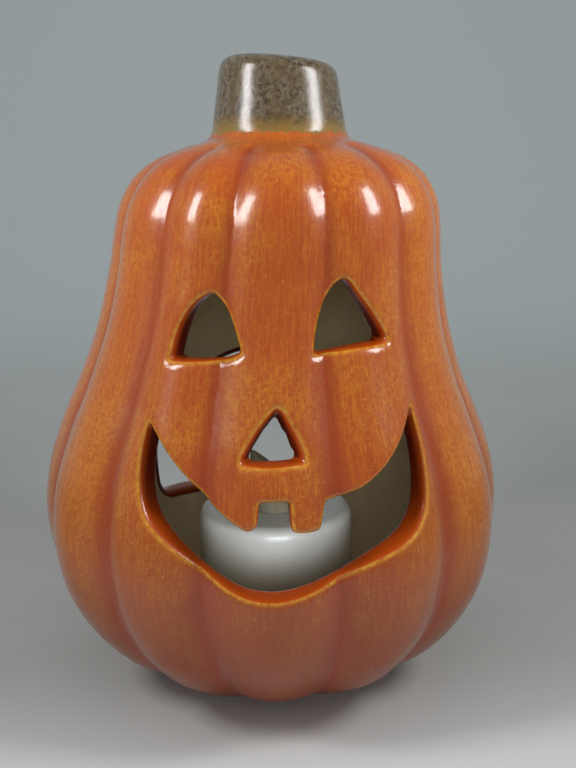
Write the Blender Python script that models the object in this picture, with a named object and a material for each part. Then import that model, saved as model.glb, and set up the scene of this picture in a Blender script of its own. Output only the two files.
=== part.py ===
"""Ceramic jack-o'-lantern with a flameless votive candle inside.

One glazed ceramic shell carries the ribs, the stem, the carved face and an arched
opening in the back. A battery candle stands loose on its floor. Metres, +Z up, the
face looks along -Y, and the origin is on the table under the middle of the shell.
"""

import math

import bmesh
import bpy
import numpy as np
from mathutils import Matrix, Vector

MM = 0.001
CLEAR = 0.3

# Shell: crest outline as (radius, height), foot to stem top
OUTLINE = [
    (26.5, 0.0), (30.4, 2.0), (34.6, 4.6), (38.4, 7.2), (42.6, 10.8), (48.6, 18.5),
    (53.2, 28.4), (55.0, 39.8), (53.7, 51.1), (49.9, 62.5), (45.1, 73.8), (41.3, 85.2),
    (39.0, 96.6), (37.9, 106.5), (36.6, 112.6), (33.3, 118.2), (28.2, 122.1),
    (21.8, 124.6), (16.8, 126.0), (15.4, 127.8), (14.9, 131.0), (14.1, 136.2),
    (13.5, 140.6), (12.8, 142.6), (11.2, 143.8), (8.0, 144.4),
]
STEM_FOOT = 127.6
STEM_TOP = 144.6
STEM_TILT = 0.09
LEAN_BELLY = -0.8
LEAN_SHOULDER = 2.2
OUTLINE_RINGS = 38

# Grooves between the lobes, as angles from the face's middle
GROOVES = [-71, -40, -14.5, 15.8, 45.5, 76, 106, 136, 166, 196, 227, 258]
GROOVE_DEPTH = [
    (0.0, 2.2), (8.0, 2.7), (30.0, 3.0), (60.0, 2.5), (95.0, 2.1), (108.0, 2.0),
    (117.0, 2.2), (122.0, 2.5), (124.6, 2.6), (126.0, 1.4), (127.8, 0.0), (145.0, 0.0),
]
LOBE_SEGMENTS = 6

# Hollow inside the shell, floor to ceiling
FLOOR = 5.0
HOLLOW = [
    (23.0, FLOOR), (29.2, 7.0), (34.6, 11.2), (41.6, 18.9), (46.6, 28.4),
    (48.4, 39.8), (47.0, 51.1), (43.3, 62.5), (38.7, 73.8), (35.1, 85.2), (33.0, 96.6),
    (31.6, 105.0), (28.6, 111.0), (22.5, 115.6), (14.0, 118.6), (6.0, 119.8),
]
FOOT_RECESS = (22.0, 1.5)

# Openings, as (angle, height) outlines cut straight towards the axis
LEFT_EYE = [
    (-28.9, 82.2), (-28.6, 86.0), (-27.2, 89.8), (-24.0, 93.2), (-19.8, 95.2),
    (-17.4, 94.6), (-13.4, 91.2), (-10.8, 87.8), (-8.4, 83.9), (-12.6, 82.8),
    (-18.2, 82.4), (-24.0, 82.2),
]
RIGHT_EYE = [
    (12.7, 83.4), (13.1, 86.2), (14.2, 90.0), (16.4, 94.0), (19.2, 96.8), (21.6, 97.8),
    (23.6, 97.0), (26.4, 94.4), (30.4, 91.0), (35.3, 86.0), (35.2, 84.8), (28.0, 84.5),
    (20.0, 84.0),
]
NOSE = [
    (-6.0, 63.6), (-5.8, 65.2), (-2.9, 69.4), (0.6, 72.9), (2.3, 74.1), (4.0, 73.0),
    (6.6, 69.6), (8.3, 66.6), (9.1, 63.8), (5.0, 63.5), (0.0, 63.4),
]
MOUTH = [
    (-31.3, 70.1), (-26.6, 66.6), (-19.9, 61.0), (-12.0, 55.2), (-5.6, 51.8),
    (-3.9, 51.3), (-2.1, 52.3), (-1.6, 56.8), (4.8, 56.8), (5.0, 51.2), (8.2, 50.7),
    (11.6, 50.9), (13.2, 56.0), (17.0, 56.5), (22.7, 58.2), (28.8, 61.7), (34.9, 66.2),
    (41.4, 71.4), (41.3, 64.0), (39.8, 57.2), (36.9, 51.4), (31.6, 47.2), (21.8, 43.6),
    (13.0, 40.4), (7.0, 38.6), (0.7, 37.8), (-6.2, 39.0), (-13.8, 43.0), (-22.4, 48.8),
    (-27.4, 53.2), (-30.0, 58.4), (-31.1, 64.4),
]
ARCH_MIDDLE = 185.0
ARCH_HALF_ANGLE = 37.5
ARCH_SILL = 29.5
ARCH_SPRING = 42.0
ARCH_TOP = 71.5
STRIP_ANGLE = 9.0

# Flameless candle: the moulded body and its flame
CANDLE_FOOT = FLOOR + CLEAR
CANDLE_RADIUS = 19.0
CANDLE_TOP = 38.3
CANDLE_WALL = 1.4
DISH_FLOOR = CANDLE_TOP - 0.8
DISH_UNDERSIDE = DISH_FLOOR - 1.6
FLAME_HOLE = 4.9
FLAME_TIP = (-5.6, 52.4)

# Bottom insert of the candle: plate, cell pocket, cover and screw. It sits up in the skirt, so
# that the switch stays clear of whatever the candle stands on
PLATE_BOTTOM = 8.3
PLATE_TOP = PLATE_BOTTOM + 2.0
PLATE_RADIUS = CANDLE_RADIUS - CANDLE_WALL - CLEAR
COVER_TOP = PLATE_BOTTOM + 1.4
CELL_RADIUS = 10.0
CELL_HEIGHT = 3.2
CELL_BOTTOM = COVER_TOP + CLEAR
CELL_TOP = CELL_BOTTOM + CELL_HEIGHT
POCKET_RADIUS = CELL_RADIUS + 1.4
POCKET_WALL = 1.4
POCKET_CEILING = PLATE_BOTTOM + 7.2
EAR_WIDTH = 5.2
EAR_END = -15.6
SCREW_Y = -13.6
SCREW_HEAD = 1.7
SCREW_SHANK = 0.9
SCREW_END = PLATE_BOTTOM + 5.5
BOSS_TOP = PLATE_BOTTOM + 6.6

# Electronics of the candle
BOARD_BOTTOM = 23.8
BOARD_TOP = 25.0
BOARD_RADIUS = 9.0
POST_X = 6.5
SWITCH_Y = 15.0
SWITCH_TRAVEL = 2.0
KNOB_SIZE = 1.6


def clear_scene():
    for obj in list(bpy.data.objects):
        bpy.data.objects.remove(obj, do_unlink=True)


def make_material(name, color, roughness, metallic=0.0):
    material = bpy.data.materials.new(name)
    material.use_nodes = True
    shader = material.node_tree.nodes["Principled BSDF"]
    shader.inputs["Base Color"].default_value = (*color, 1.0)
    shader.inputs["Roughness"].default_value = roughness
    shader.inputs["Metallic"].default_value = metallic
    return material


def add_object(name, bm, material=None):
    bmesh.ops.recalc_face_normals(bm, faces=bm.faces)
    if bm.calc_volume(signed=True) < 0:
        bmesh.ops.reverse_faces(bm, faces=bm.faces)
    mesh = bpy.data.meshes.new(name)
    bm.to_mesh(mesh)
    bm.free()
    obj = bpy.data.objects.new(name, mesh)
    bpy.context.scene.collection.objects.link(obj)
    if material:
        mesh.materials.append(material)
    return obj


def skin(name, rings, material=None, loop=False):
    """A closed surface through rings of points in millimetres. A ring of one point is a pole."""
    bm = bmesh.new()
    made = [[bm.verts.new(Vector(p) * MM) for p in ring] for ring in rings]
    pairs = list(zip(made[:-1], made[1:]))
    if loop:
        pairs.append((made[-1], made[0]))
    for low, high in pairs:
        count = max(len(low), len(high))
        for i in range(count):
            j = (i + 1) % count
            if len(low) == 1:
                bm.faces.new((low[0], high[j], high[i]))
            elif len(high) == 1:
                bm.faces.new((low[i], low[j], high[0]))
            else:
                bm.faces.new((low[i], low[j], high[j], high[i]))
    return add_object(name, bm, material)


def circle(radius, height, segments, x=0.0, y=0.0, squeeze=1.0):
    if radius == 0:
        return [(x, y, height)]
    turns = [2 * math.pi * i / segments for i in range(segments)]
    return [
        (x + radius * math.cos(a), y + squeeze * radius * math.sin(a), height)
        for a in turns
    ]


def place(obj, origin, parent):
    """Hangs an object from its parent with its own origin at a point, leaving its shape in place."""
    obj.data.transform(Matrix.Translation(-Vector(origin) * MM))
    obj.parent = parent
    obj.location = Vector(origin) * MM - parent.location


def revolve(name, outline, segments, material=None, loop=False, x=0.0, y=0.0):
    rings = [circle(r, z, segments, x, y) for r, z in outline]
    return skin(name, rings, material, loop)


def block(name, low, high, material=None):
    rings = []
    for z in (low[2], high[2]):
        rings.append([
            (low[0], low[1], z), (high[0], low[1], z),
            (high[0], high[1], z), (low[0], high[1], z),
        ])
    middle = ((low[0] + high[0]) / 2, (low[1] + high[1]) / 2)
    bottom = [(*middle, low[2])]
    top = [(*middle, high[2])]
    return skin(name, [bottom, *rings, top], material)


def combine(base, others, operation):
    """Joins or cuts with exact Booleans, keeps the result in base and removes the tools."""
    for other in others:
        modifier = base.modifiers.new(operation.lower(), "BOOLEAN")
        modifier.operation = operation
        modifier.solver = "EXACT"
        modifier.object = other
        other.hide_render = True
        other.display_type = "WIRE"
    bpy.context.view_layer.update()
    graph = bpy.context.evaluated_depsgraph_get()
    result = bpy.data.meshes.new_from_object(base.evaluated_get(graph))
    base.modifiers.clear()
    base.data = result
    for other in others:
        bpy.data.objects.remove(other, do_unlink=True)
    return base


def shade(obj, angle=35):
    obj.data.polygons.foreach_set("use_smooth", [True] * len(obj.data.polygons))
    obj.data.set_sharp_from_angle(angle=math.radians(angle))


def spline(points, count):
    """Evenly spaced points on a smooth curve through the given ones."""
    p = np.array(points, float)
    ends = [2 * p[0] - p[1], *p, 2 * p[-1] - p[-2]]
    fine = []
    for a, b, c, d in zip(ends, ends[1:], ends[2:], ends[3:]):
        for t in np.linspace(0, 1, 12, endpoint=False):
            fine.append(
                0.5 * (2 * b + (c - a) * t + (2 * a - 5 * b + 4 * c - d) * t**2
                       + (3 * b - a - 3 * c + d) * t**3)
            )
    fine = np.array([*fine, p[-1]])
    along = np.r_[0, np.cumsum(np.linalg.norm(np.diff(fine, axis=0), axis=1))]
    wanted = np.linspace(0, along[-1], count)
    return [tuple(np.interp(w, along, fine[:, k]) for k in (0, 1)) for w in wanted]


def groove_depth(z):
    heights, depths = zip(*GROOVE_DEPTH)
    return float(np.interp(z, heights, depths))


def ease(share):
    share = min(max(share, 0.0), 1.0)
    return share * share * (3 - 2 * share)


def lean(z):
    """How far the shell's middle stands to the right at a height: the belly sags left of the stem."""
    return LEAN_BELLY * ease(z / 40) + (LEAN_SHOULDER - LEAN_BELLY) * ease((z - 60) / 65)


def polar(radius, degrees, z):
    """A point from its angle, which is 0 at the middle of the face and grows to the right."""
    a = math.radians(degrees)
    return (lean(z) + radius * math.sin(a), -radius * math.cos(a), z)


def lobed_ring(crest, z):
    """One level of the ribbed skin: round lobes that meet in creases."""
    ring = []
    depth = groove_depth(z)
    edges = [*GROOVES, GROOVES[0] + 360]
    for start, end in zip(edges, edges[1:]):
        for i in range(LOBE_SEGMENTS):
            share = i / LOBE_SEGMENTS
            radius = crest - depth * (1 - math.sin(math.pi * share) ** 0.85)
            ring.append(polar(radius, start + share * (end - start), z))
    return ring


def tilt_stem(ring):
    """The cut top of the stem slopes down to the right."""
    height = ring[0][2]
    share = max(0.0, (height - STEM_FOOT) / (STEM_TOP - STEM_FOOT))
    return [(x, y, z - STEM_TILT * share * (x + 4.0)) for x, y, z in ring]


def wrapped_cutter(name, outline, inner, outer):
    """A cutter with the outline's shape on the shell, running straight towards its axis."""
    bm = bmesh.new()
    bm.faces.new([bm.verts.new((a, z, 0)) for a, z in outline])
    bmesh.ops.triangulate(bm, faces=bm.faces)
    angles = [a for a, _ in outline]
    at = STRIP_ANGLE * math.ceil(min(angles) / STRIP_ANGLE + 0.2)
    while at < max(angles) - 0.2 * STRIP_ANGLE:
        everything = [*bm.verts, *bm.edges, *bm.faces]
        bmesh.ops.bisect_plane(
            bm, geom=everything, plane_co=(at, 0, 0), plane_no=(1, 0, 0), dist=1e-6
        )
        at += STRIP_ANGLE
    bmesh.ops.triangulate(bm, faces=bm.faces)
    sheet = bmesh.ops.extrude_face_region(bm, geom=list(bm.faces))
    far = {v for v in sheet["geom"] if isinstance(v, bmesh.types.BMVert)}
    for v in bm.verts:
        radius = outer if v in far else inner
        v.co = Vector(polar(radius, v.co.x, v.co.y)) * MM
    return add_object(name, bm)


def arch_outline():
    corner = 2.6
    degrees = corner / 48 * 180 / math.pi
    points = [
        (ARCH_MIDDLE - ARCH_HALF_ANGLE, ARCH_SILL + corner),
        (ARCH_MIDDLE - ARCH_HALF_ANGLE + 0.3 * degrees, ARCH_SILL + 0.3 * corner),
        (ARCH_MIDDLE - ARCH_HALF_ANGLE + degrees, ARCH_SILL),
        (ARCH_MIDDLE + ARCH_HALF_ANGLE - degrees, ARCH_SILL),
        (ARCH_MIDDLE + ARCH_HALF_ANGLE - 0.3 * degrees, ARCH_SILL + 0.3 * corner),
        (ARCH_MIDDLE + ARCH_HALF_ANGLE, ARCH_SILL + corner),
    ]
    for i in range(13):
        turn = math.pi * i / 12
        points.append((
            ARCH_MIDDLE + ARCH_HALF_ANGLE * math.cos(turn),
            ARCH_SPRING + (ARCH_TOP - ARCH_SPRING) * math.sin(turn),
        ))
    return points


def make_shell():
    glaze = make_material("orange_glaze", (0.42, 0.11, 0.03), 0.12)
    rings = [[(0, 0, 0)]]
    for radius, z in spline(OUTLINE, OUTLINE_RINGS):
        rings.append(tilt_stem(lobed_ring(radius, z)))
    rings.append([(lean(STEM_TOP), 0, STEM_TOP)])
    shell = skin("pumpkin_shell", rings, glaze)
    hollow = [[(0, 0, FLOOR)]]
    for radius, z in spline(HOLLOW, 20):
        hollow.append([polar(radius, 360 * i / 48, z) for i in range(48)])
    hollow.append([(lean(HOLLOW[-1][1]), 0, HOLLOW[-1][1] + 0.2)])
    radius, depth = FOOT_RECESS
    cutters = [
        skin("hollow", hollow),
        revolve("foot_recess", [(0, -2), (radius, -2), (radius - 1, depth), (0, depth)], 48),
        wrapped_cutter("left_eye_hole", LEFT_EYE, 26, 48),
        wrapped_cutter("right_eye_hole", RIGHT_EYE, 26, 48),
        wrapped_cutter("nose_hole", NOSE, 32, 56),
        wrapped_cutter("mouth_hole", MOUTH, 36, 64),
        wrapped_cutter("back_arch", arch_outline(), 32, 64),
    ]
    combine(shell, cutters, "DIFFERENCE")
    shade(shell)
    return shell


def make_candle_body():
    """A moulded cup upside down, with a rounded shoulder, a shallow dish and the flame's hole."""
    inner = CANDLE_RADIUS - CANDLE_WALL
    outline = [
        (inner, CANDLE_FOOT), (CANDLE_RADIUS - 0.4, CANDLE_FOOT),
        (CANDLE_RADIUS, CANDLE_FOOT + 0.5), (CANDLE_RADIUS, CANDLE_TOP - 2.6),
        (CANDLE_RADIUS - 0.3, CANDLE_TOP - 1.5), (CANDLE_RADIUS - 0.9, CANDLE_TOP - 0.6),
        (CANDLE_RADIUS - 2.0, CANDLE_TOP - 0.1), (CANDLE_RADIUS - 3.4, CANDLE_TOP),
        (CANDLE_RADIUS - 8.0, CANDLE_TOP - 0.35), (FLAME_HOLE + 0.6, DISH_FLOOR),
        (FLAME_HOLE, DISH_FLOOR - 0.4), (FLAME_HOLE, DISH_UNDERSIDE),
        (inner - 0.8, DISH_UNDERSIDE),
        (inner, DISH_UNDERSIDE - 0.8),
    ]
    plastic = make_material("candle_plastic", (0.78, 0.75, 0.68), 0.35)
    body = revolve("candle_body", outline, 56, plastic, loop=True)
    shade(body, 40)
    return body


def make_flame():
    """A hollow flame whose tip bends over to the left, on a flange under the candle's top."""
    top = DISH_UNDERSIDE - CLEAR
    neck = FLAME_HOLE - 0.4
    tip_x, tip_z = FLAME_TIP
    outer = [
        (6.6, top - 1.0, 0), (6.6, top, 0), (neck, top, 0), (neck, 38.0, 0), (4.9, 39.6, -0.1),
        (5.2, 41.4, -0.4), (5.0, 43.4, -0.9), (4.3, 45.7, -1.7), (3.2, 48.0, -2.9),
        (2.0, 50.1, -4.1), (0.9, 51.7, -5.1),
    ]
    inner = [(3.5, 36.0, 0), (3.6, 38.2, 0), (4.1, 41.5, -0.4), (3.5, 44.6, -1.2)]
    rings = [circle(r, z, 24, x) for r, z, x in outer]
    plastic = make_material("flame_plastic", (0.86, 0.76, 0.52), 0.3)
    flame = skin("flame", [[(0, 0, top - 1.0)], *rings, [(tip_x, 0, tip_z)]], plastic)
    hollow = [circle(3.5, top - 2.0, 24)]
    hollow += [circle(r, z, 24, x) for r, z, x in inner]
    bore = skin("flame_bore", [[(0, 0, top - 2.0)], *hollow, [(-1.9, 0, 46.4)]])
    combine(flame, [bore], "DIFFERENCE")
    shade(flame, 50)
    return flame


def make_led():
    """A 5 mm light-emitting diode on two short legs."""
    lens = 2.5
    flange = 2.9
    outline = [
        (0, 28.4), (flange, 28.4), (flange, 29.4), (lens, 29.4), (lens, 34.6), (2.2, 35.8),
        (1.4, 36.8), (0.6, 37.1), (0, 37.2),
    ]
    epoxy = make_material("led_epoxy", (0.9, 0.85, 0.65), 0.1)
    led = revolve("led", outline, 20, epoxy)
    legs = [
        block("leg", (x - 0.3, -0.3, BOARD_TOP + CLEAR), (x + 0.3, 0.3, 29.0))
        for x in (-1.27, 1.27)
    ]
    combine(led, legs, "UNION")
    shade(led)
    return led


def make_circuit_board():
    laminate = make_material("board_laminate", (0.05, 0.25, 0.1), 0.5)
    board = revolve("circuit_board", [
        (0, BOARD_BOTTOM), (BOARD_RADIUS, BOARD_BOTTOM), (BOARD_RADIUS, BOARD_TOP), (0, BOARD_TOP)
    ], 32, laminate)
    shade(board)
    return board


def make_base_plate():
    """Bottom insert: plate, cell pocket with its roof, and the posts under the circuit board."""
    collar = POCKET_RADIUS + POCKET_WALL
    roof = POCKET_CEILING + 1.2
    plastic = make_material("insert_plastic", (0.74, 0.72, 0.66), 0.45)
    plate = revolve("base_plate", [
        (0, PLATE_BOTTOM), (PLATE_RADIUS, PLATE_BOTTOM), (PLATE_RADIUS, PLATE_TOP),
        (collar, PLATE_TOP), (collar, roof), (0, roof),
    ], 48, plastic)
    posts = [
        revolve("post", [(0, POCKET_CEILING), (1.6, POCKET_CEILING), (1.6, BOARD_BOTTOM - CLEAR),
                         (0, BOARD_BOTTOM - CLEAR)], 12, x=x)
        for x in (-POST_X, POST_X)
    ]
    boss = revolve("boss", [(0, PLATE_BOTTOM + 0.5), (1.9, PLATE_BOTTOM + 0.5), (1.9, BOSS_TOP),
                            (0, BOSS_TOP)], 16, y=SCREW_Y)
    combine(plate, [*posts, boss], "UNION")
    notch = EAR_WIDTH / 2 + 0.4
    slot_x = SWITCH_TRAVEL / 2 + KNOB_SIZE / 2 + 0.5
    slot_y = KNOB_SIZE / 2 + CLEAR
    thread = SCREW_SHANK + CLEAR
    below = PLATE_BOTTOM - 1.9
    cuts = [
        revolve("pocket", [(0, below), (POCKET_RADIUS, below), (POCKET_RADIUS, POCKET_CEILING),
                           (0, POCKET_CEILING)], 48),
        block("ear_notch", (-notch, EAR_END - 0.4, below), (notch, -9.0, COVER_TOP + CLEAR)),
        revolve("screw_hole", [(0, below), (thread, below), (thread, SCREW_END + 0.4), (0, SCREW_END + 0.4)], 12,
                y=SCREW_Y),
        block("knob_slot", (-slot_x, SWITCH_Y - slot_y, below),
              (slot_x, SWITCH_Y + slot_y, PLATE_TOP + 1)),
    ]
    combine(plate, cuts, "DIFFERENCE")
    shade(plate)
    return plate


def make_battery_cover():
    """A round lid with one ear for its screw and a slot for a coin's edge."""
    radius = POCKET_RADIUS - CLEAR
    below = PLATE_BOTTOM - 1.9
    plastic = make_material("cover_plastic", (0.72, 0.70, 0.64), 0.45)
    cover = revolve("battery_cover", [
        (0, PLATE_BOTTOM), (radius, PLATE_BOTTOM), (radius, COVER_TOP), (0, COVER_TOP)
    ], 48, plastic)
    ear = block("ear", (-EAR_WIDTH / 2, EAR_END, PLATE_BOTTOM), (EAR_WIDTH / 2, -8.0, COVER_TOP))
    combine(cover, [ear], "UNION")
    hole = SCREW_SHANK + 0.4
    seat = SCREW_HEAD + 0.4
    seat_top = PLATE_BOTTOM + 0.7
    cuts = [
        revolve("ear_hole", [(0, below), (hole, below), (hole, PLATE_TOP), (0, PLATE_TOP)], 16,
                y=SCREW_Y),
        revolve("head_seat", [(0, below), (seat, below), (seat, seat_top), (0, seat_top)], 20,
                y=SCREW_Y),
        block("coin_slot", (-4.0, -0.6, below), (4.0, 0.6, PLATE_BOTTOM + 0.6)),
    ]
    combine(cover, cuts, "DIFFERENCE")
    shade(cover)
    return cover


def make_cover_screw():
    head_bottom = PLATE_BOTTOM + 0.05
    drive_depth = PLATE_BOTTOM + 0.25
    steel = make_material("screw_steel", (0.55, 0.55, 0.56), 0.3, 1.0)
    screw = revolve("cover_screw", [
        (0, head_bottom), (SCREW_HEAD - 0.1, head_bottom), (SCREW_HEAD, PLATE_BOTTOM + 0.4),
        (SCREW_SHANK, PLATE_BOTTOM + 0.45), (SCREW_SHANK, SCREW_END - 0.8),
        (0.5, SCREW_END - 0.1), (0, SCREW_END),
    ], 16, steel, y=SCREW_Y)
    slots = [
        block("drive", (-0.9, SCREW_Y - 0.2, CANDLE_FOOT), (0.9, SCREW_Y + 0.2, drive_depth)),
        block("cross", (-0.2, SCREW_Y - 0.9, CANDLE_FOOT), (0.2, SCREW_Y + 0.9, drive_depth)),
    ]
    combine(screw, slots, "DIFFERENCE")
    shade(screw)
    return screw


def make_coin_cell():
    """The can with its wide face down, and the smaller negative cap on top."""
    nickel = make_material("cell_nickel", (0.66, 0.65, 0.62), 0.25, 1.0)
    cell = revolve("coin_cell", [
        (0, CELL_BOTTOM), (CELL_RADIUS - 0.3, CELL_BOTTOM), (CELL_RADIUS, CELL_BOTTOM + 0.3),
        (CELL_RADIUS, CELL_TOP - 0.7), (CELL_RADIUS - 0.7, CELL_TOP - 0.3),
        (CELL_RADIUS - 1.0, CELL_TOP), (0, CELL_TOP),
    ], 48, nickel)
    shade(cell)
    return cell


def make_contacts():
    """A leaf over the cell's cap, and an upright tab beside its rim."""
    plated = make_material("leaf_metal", (0.62, 0.58, 0.5), 0.3, 1.0)
    leaf = block("contact_negative", (-1.5, -8.0, CELL_TOP + 1.2), (1.5, 8.0, CELL_TOP + 1.5), plated)
    finger = block("finger", (-1.0, -3.0, CELL_TOP + CLEAR), (1.0, -1.8, CELL_TOP + 1.3))
    combine(leaf, [finger], "UNION")
    tin = make_material("tab_metal", (0.6, 0.6, 0.6), 0.3, 1.0)
    tab = block("contact_positive", (CELL_RADIUS + CLEAR, -1.6, CELL_BOTTOM + 0.6),
                (CELL_RADIUS + 0.7, 1.6, CELL_BOTTOM + 5.0), tin)
    return [leaf, tab]


def make_switch_body():
    steel = make_material("switch_steel", (0.58, 0.58, 0.58), 0.3, 1.0)
    bottom = PLATE_TOP + CLEAR
    return block("switch_body", (-3.1, SWITCH_Y - 1.6, bottom), (3.1, SWITCH_Y + 1.4, bottom + 3.0), steel)


def make_switch_knob():
    """The slide's knob at its off end. It moves to the right by the switch's travel."""
    half = KNOB_SIZE / 2
    middle = -SWITCH_TRAVEL / 2
    black = make_material("knob_plastic", (0.03, 0.03, 0.03), 0.4)
    return block("switch_knob", (middle - half, SWITCH_Y - half, PLATE_BOTTOM - CLEAR),
                 (middle + half, SWITCH_Y + half, PLATE_TOP), black)


def make_candle():
    """All of the candle hangs from one empty on its axis, on the shell's floor."""
    candle = bpy.data.objects.new("candle", None)
    candle.location = (0, 0, CANDLE_FOOT * MM)
    bpy.context.scene.collection.objects.link(candle)
    pieces = [
        make_candle_body(), make_flame(), make_led(), make_circuit_board(), make_base_plate(),
        make_battery_cover(), make_cover_screw(), make_coin_cell(), *make_contacts(),
        make_switch_body(),
    ]
    for piece in pieces:
        place(piece, (0, 0, CANDLE_FOOT), candle)
    place(make_switch_knob(), (-SWITCH_TRAVEL / 2, SWITCH_Y, PLATE_BOTTOM), candle)


def main():
    clear_scene()
    make_shell()
    make_candle()


main()
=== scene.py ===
"""The looks of the ceramic pumpkin figure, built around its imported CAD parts.

The shell is made again as one fine mesh: a blank from the CAD shell is settled onto a smooth
surface, whose outline, ribs and carved openings are the CAD ones with soft edges. Shell sizes
are in millimetres in the row frame, and become metres when the mesh is made.
"""

import math

import bmesh
import bpy
import numpy as np
from mathutils import Matrix, Vector


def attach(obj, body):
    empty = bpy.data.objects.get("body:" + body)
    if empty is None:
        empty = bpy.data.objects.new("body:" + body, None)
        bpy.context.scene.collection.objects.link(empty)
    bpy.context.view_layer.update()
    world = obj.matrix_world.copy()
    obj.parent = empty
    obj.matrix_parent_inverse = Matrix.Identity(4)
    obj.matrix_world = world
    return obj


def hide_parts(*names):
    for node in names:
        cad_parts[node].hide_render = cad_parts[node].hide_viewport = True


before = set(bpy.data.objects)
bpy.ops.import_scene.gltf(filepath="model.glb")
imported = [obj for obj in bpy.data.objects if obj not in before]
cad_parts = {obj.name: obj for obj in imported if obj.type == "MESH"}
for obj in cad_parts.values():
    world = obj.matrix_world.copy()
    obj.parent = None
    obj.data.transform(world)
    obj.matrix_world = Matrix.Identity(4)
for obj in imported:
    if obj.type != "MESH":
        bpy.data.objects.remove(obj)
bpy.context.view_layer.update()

MM = 0.001

# ---------------------------------------------------------------- shell shape
# Crest outline as (radius, height), foot to stem top
OUTLINE = [
    (26.5, 0.0), (30.4, 2.0), (34.6, 4.6), (38.4, 7.2), (42.6, 10.8), (48.6, 18.5),
    (53.2, 28.4), (55.0, 39.8), (53.7, 51.1), (49.9, 62.5), (45.1, 73.8), (41.3, 85.2),
    (39.0, 96.6), (37.9, 106.5), (36.6, 112.6), (33.3, 118.2), (28.2, 122.1),
    (21.8, 124.6), (16.8, 126.0), (15.4, 127.8), (14.9, 131.0), (14.1, 136.2),
    (13.5, 140.6), (12.8, 142.6), (11.2, 143.8), (8.0, 144.4),
]
HOLLOW = [
    (23.0, 5.0), (29.2, 7.0), (34.6, 11.2), (41.6, 18.9), (46.6, 28.4), (48.4, 39.8),
    (47.0, 51.1), (43.3, 62.5), (38.7, 73.8), (35.1, 85.2), (33.0, 96.6), (31.6, 105.0),
    (28.6, 111.0), (22.5, 115.6), (14.0, 118.6), (6.0, 119.8),
]
FOOT_RECESS = (22.0, 1.5)
STEM_FOOT = 127.6
STEM_TOP = 144.6
STEM_TILT = 0.09
LEAN_BELLY = -0.8
LEAN_SHOULDER = 2.2

# Grooves between the lobes, in degrees from the face's middle, and their depth by height
GROOVES = [-71, -40, -14.5, 15.8, 45.5, 76, 106, 136, 166, 196, 227, 258]
GROOVE_DEPTH = [
    (0.0, 2.2), (8.0, 2.7), (30.0, 3.0), (60.0, 2.5), (95.0, 2.1), (108.0, 2.0),
    (117.0, 2.2), (122.0, 2.5), (124.6, 2.6), (126.0, 1.4), (127.8, 0.0), (145.0, 0.0),
]
GROOVE_SOFTNESS = 0.08

# Openings, as (angle, height) outlines
LEFT_EYE = [
    (-28.9, 82.2), (-28.6, 86.0), (-27.2, 89.8), (-24.0, 93.2), (-19.8, 95.2),
    (-17.4, 94.6), (-13.4, 91.2), (-10.8, 87.8), (-8.4, 83.9), (-12.6, 82.8),
    (-18.2, 82.4), (-24.0, 82.2),
]
RIGHT_EYE = [
    (12.7, 83.4), (13.1, 86.2), (14.2, 90.0), (16.4, 94.0), (19.2, 96.8), (21.6, 97.8),
    (23.6, 97.0), (26.4, 94.4), (30.4, 91.0), (35.3, 86.0), (35.2, 84.8), (28.0, 84.5),
    (20.0, 84.0),
]
NOSE = [
    (-6.0, 63.6), (-5.8, 65.2), (-2.9, 69.4), (0.6, 72.9), (2.3, 74.1), (4.0, 73.0),
    (6.6, 69.6), (8.3, 66.6), (9.1, 63.8), (5.0, 63.5), (0.0, 63.4),
]
MOUTH = [
    (-31.3, 70.1), (-26.6, 66.6), (-19.9, 61.0), (-12.0, 55.2), (-5.6, 51.8),
    (-3.9, 51.3), (-2.1, 52.3), (-1.6, 56.8), (4.8, 56.8), (5.0, 51.2), (8.2, 50.7),
    (11.6, 50.9), (13.2, 56.0), (17.0, 56.5), (22.7, 58.2), (28.8, 61.7), (34.9, 66.2),
    (41.4, 71.4), (41.3, 64.0), (39.8, 57.2), (36.9, 51.4), (31.6, 47.2), (21.8, 43.6),
    (13.0, 40.4), (7.0, 38.6), (0.7, 37.8), (-6.2, 39.0), (-13.8, 43.0), (-22.4, 48.8),
    (-27.4, 53.2), (-30.0, 58.4), (-31.1, 64.4),
]
ARCH_MIDDLE = 185.0
ARCH_HALF_ANGLE = 37.5
ARCH_SILL = 29.5
ARCH_SPRING = 42.0
ARCH_TOP = 70.2

# How the shell's mesh is made: rounding of the cut edges, size of its faces, the finer band
# beside the edges, how far an opening is felt, and the height of the skin's slow waves
EDGE_ROUND = 1.7
VOXEL = 1.14
FINE_BAND = 1.9
REACH = 5.0
WAVE = 0.10
NARROWING_STEPS = 10
SETTLING_STEPS = 8


def ease(share):
    share = np.clip(share, 0.0, 1.0)
    return share * share * (3 - 2 * share)


def lean(z):
    """How far the shell's middle stands to the right at a height."""
    return LEAN_BELLY * ease(z / 40) + (LEAN_SHOULDER - LEAN_BELLY) * ease((z - 60) / 65)


def curve_through(points, steps=12):
    """Points along a smooth curve through the given ones."""
    p = np.array(points, float)
    ends = [2 * p[0] - p[1], *p, 2 * p[-1] - p[-2]]
    fine = []
    for a, b, c, d in zip(ends, ends[1:], ends[2:], ends[3:]):
        for t in np.linspace(0, 1, steps, endpoint=False):
            fine.append(
                0.5 * (2 * b + (c - a) * t + (2 * a - 5 * b + 4 * c - d) * t**2
                       + (3 * b - a - 3 * c + d) * t**3)
            )
    return [tuple(q) for q in fine] + [tuple(p[-1])]


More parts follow.
